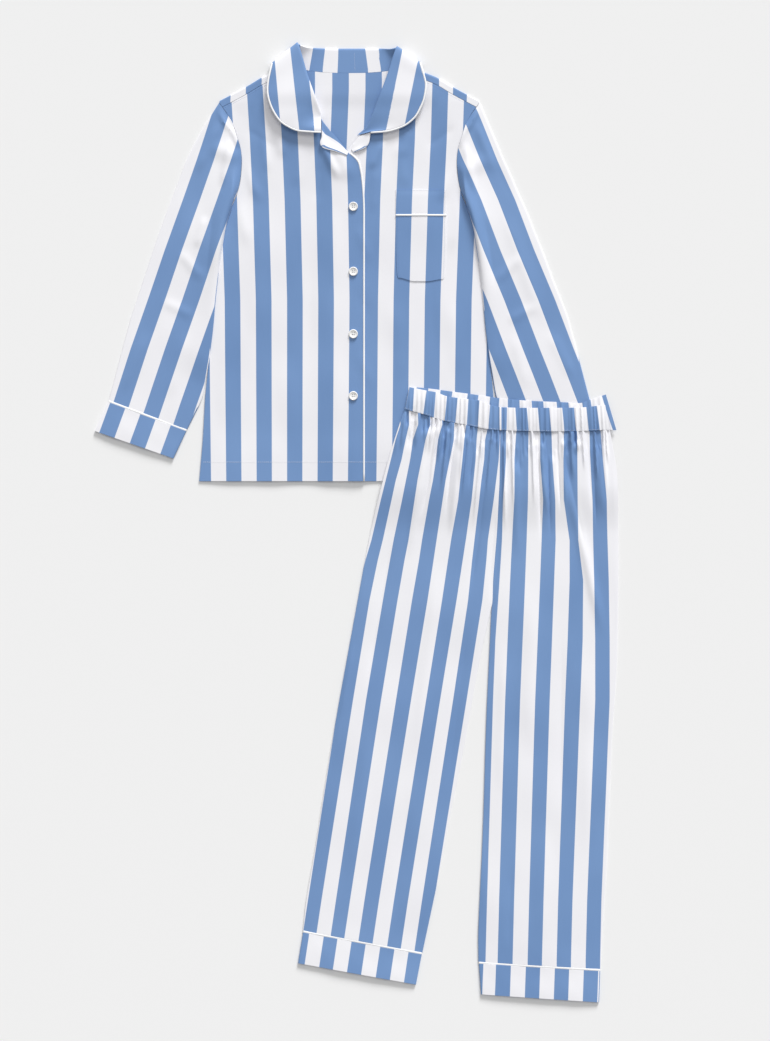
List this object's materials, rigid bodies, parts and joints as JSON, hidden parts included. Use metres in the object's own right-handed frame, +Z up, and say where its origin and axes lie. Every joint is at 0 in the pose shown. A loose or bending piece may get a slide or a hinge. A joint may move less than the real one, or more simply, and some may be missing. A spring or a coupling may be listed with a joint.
{
  "type": "pyjama set",
  "caption": "Striped woven pyjama set laid flat: notched-collar shirt with long sleeves, and full-length trousers with a gathered waist lying over its corner.",
  "frame": {"origin": "middle of the laid-out set's outline, on the surface it lies on", "axes": "+Y from the trouser hems towards the shirt's collar, +X to the right of someone who looks down at it, +Z up from the surface"},
  "size_m": [0.855, 1.5628, 0.0109],
  "materials": {
    "cloth": "woven cotton in even blue and white stripes, soft sheen",
    "piping": "white cotton piping",
    "button": "white, lightly glossy"
  },
  "bodies": {
    "root": {"shirt_back": "cloth", "shirt_front_right": "cloth", "shirt_front_left": "cloth", "sleeve_right": "cloth", "sleeve_left": "cloth", "cuff_right": "cloth", "cuff_left": "cloth", "collar": "cloth", "revere_right": "cloth", "revere_left": "cloth", "pocket": "cloth", "trouser_back_right": "cloth", "trouser_back_left": "cloth", "trouser_front_right": "cloth", "trouser_front_left": "cloth", "waistband_front": "cloth", "waistband_back": "cloth", "leg_cuff_right": "cloth", "leg_cuff_left": "cloth", "collar_piping": "piping", "placket_piping": "piping", "cuff_piping_right": "piping", "cuff_piping_left": "piping", "pocket_piping": "piping", "leg_piping_right": "piping", "leg_piping_left": "piping", "button_1": "button", "button_2": "button", "button_3": "button", "button_4": "button"}
  },
  "joints": []
}
